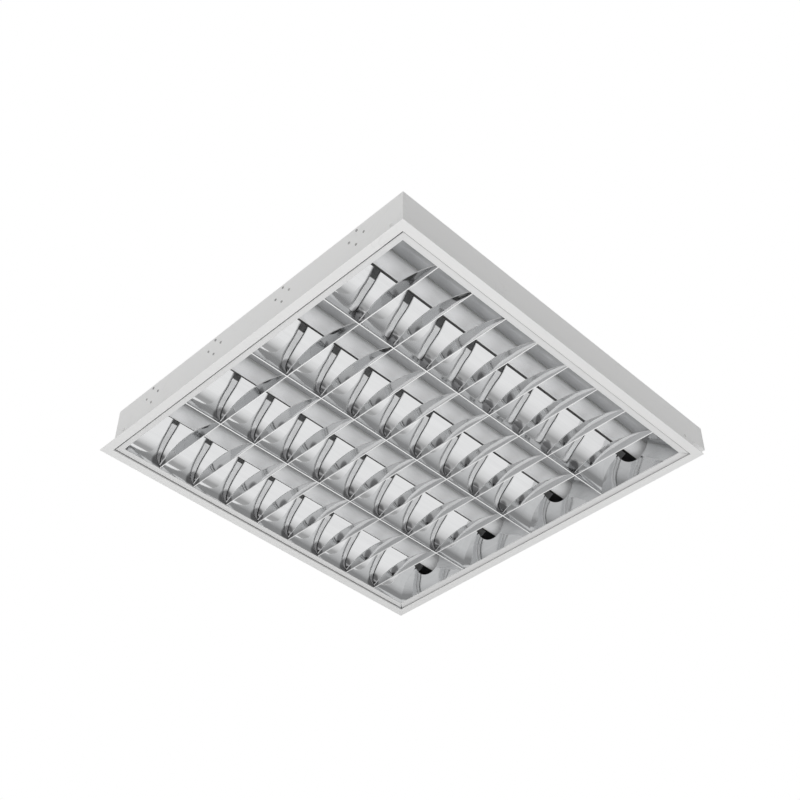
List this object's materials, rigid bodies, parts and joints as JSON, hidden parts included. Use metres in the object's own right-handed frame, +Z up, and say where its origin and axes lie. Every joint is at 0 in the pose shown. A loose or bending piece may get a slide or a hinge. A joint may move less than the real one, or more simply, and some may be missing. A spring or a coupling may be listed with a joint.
{
  "type": "surface mounted led tube fixture",
  "caption": "Square white ceiling light with tube lamps behind a hinged mirror louvre of curved troughs and cross blades.",
  "frame": {"origin": "on the ceiling side of the housing, over the centre of the square rim", "axes": "+Z up to the ceiling, X along the tubes towards the deep lampholder pocket, Y across the troughs"},
  "size_m": [0.6292, 0.6, 0.072],
  "materials": {
    "white_steel": "white powder coat, fine satin texture",
    "white_rail": "white coated rail, satin",
    "mirror_aluminium": "bright anodised mirror aluminium",
    "frosted_tube": "frosted white diffuser",
    "board_white": "white solder mask",
    "tube_cap": "white moulded cap",
    "brass_pin": "nickelled brass pin",
    "holder_plastic": "white moulded plastic",
    "plated_steel": "bright zinc plate",
    "zinc_plate": "zinc plated sheet",
    "terminal_plastic": "pale moulded plastic",
    "grommet_rubber": "black rubber",
    "wire_brown": "brown insulation",
    "wire_blue": "blue insulation",
    "wire_green": "green insulation"
  },
  "bodies": {
    "housing": {"cable_grommet": "grommet_rubber", "catch_keepers": "zinc_plate", "earth_terminal": "plated_steel", "earth_wire": "wire_green", "far_end_plate": "white_steel", "far_lampholders": "holder_plastic", "hinge_plates": "zinc_plate", "holder_screws": "plated_steel", "housing_tray": "white_steel", "line_wires": "wire_brown", "near_end_plate": "white_steel", "near_lampholders": "holder_plastic", "neutral_wires": "wire_blue", "rivets": "plated_steel", "terminal_block": "terminal_plastic", "terminal_screws": "plated_steel", "wire_saddles": "holder_plastic"},
    "louvre": {"near_rail": "white_rail", "far_rail": "white_rail", "left_rail": "white_rail", "right_rail": "white_rail", "corner_keys": "zinc_plate", "left_reflector": "mirror_aluminium", "right_reflector": "mirror_aluminium", "near_end_reflector": "mirror_aluminium", "far_end_reflector": "mirror_aluminium", "hinge_pins": "plated_steel", "ball_catches": "plated_steel", "ridge_reflector_1": "mirror_aluminium", "ridge_reflector_2": "mirror_aluminium", "ridge_reflector_3": "mirror_aluminium", "blade_row_1": "mirror_aluminium", "blade_row_2": "mirror_aluminium", "blade_row_3": "mirror_aluminium", "blade_row_4": "mirror_aluminium", "blade_row_5": "mirror_aluminium", "blade_row_6": "mirror_aluminium", "blade_row_7": "mirror_aluminium", "blade_row_8": "mirror_aluminium"},
    "tube_1": {"tube_1_diffuser": "frosted_tube", "tube_1_led_board": "board_white", "tube_1_end_caps": "tube_cap", "tube_1_pins": "brass_pin", "tube_1_rotors": "holder_plastic"},
    "tube_2": {"tube_2_diffuser": "frosted_tube", "tube_2_led_board": "board_white", "tube_2_end_caps": "tube_cap", "tube_2_pins": "brass_pin", "tube_2_rotors": "holder_plastic"},
    "tube_3": {"tube_3_diffuser": "frosted_tube", "tube_3_led_board": "board_white", "tube_3_end_caps": "tube_cap", "tube_3_pins": "brass_pin", "tube_3_rotors": "holder_plastic"},
    "tube_4": {"tube_4_diffuser": "frosted_tube", "tube_4_led_board": "board_white", "tube_4_end_caps": "tube_cap", "tube_4_pins": "brass_pin", "tube_4_rotors": "holder_plastic"}
  },
  "joints": [
    {"name": "louvre_hinge", "type": "hinge", "parent": "housing", "child": "louvre", "pos_m": [0.28, 0, -0.0645], "axis": [0, -1, 0], "range_deg": [0, 90]},
    {"name": "tube_1_turn", "type": "hinge", "parent": "housing", "child": "tube_1", "pos_m": [0, -0.2067, -0.019], "axis": [1, 0, 0], "range_deg": [0, 90]},
    {"name": "tube_2_turn", "type": "hinge", "parent": "housing", "child": "tube_2", "pos_m": [0, -0.0689, -0.019], "axis": [1, 0, 0], "range_deg": [0, 90]},
    {"name": "tube_3_turn", "type": "hinge", "parent": "housing", "child": "tube_3", "pos_m": [0, 0.0689, -0.019], "axis": [1, 0, 0], "range_deg": [0, 90]},
    {"name": "tube_4_turn", "type": "hinge", "parent": "housing", "child": "tube_4", "pos_m": [0, 0.2067, -0.019], "axis": [1, 0, 0], "range_deg": [0, 90]}
  ]
}
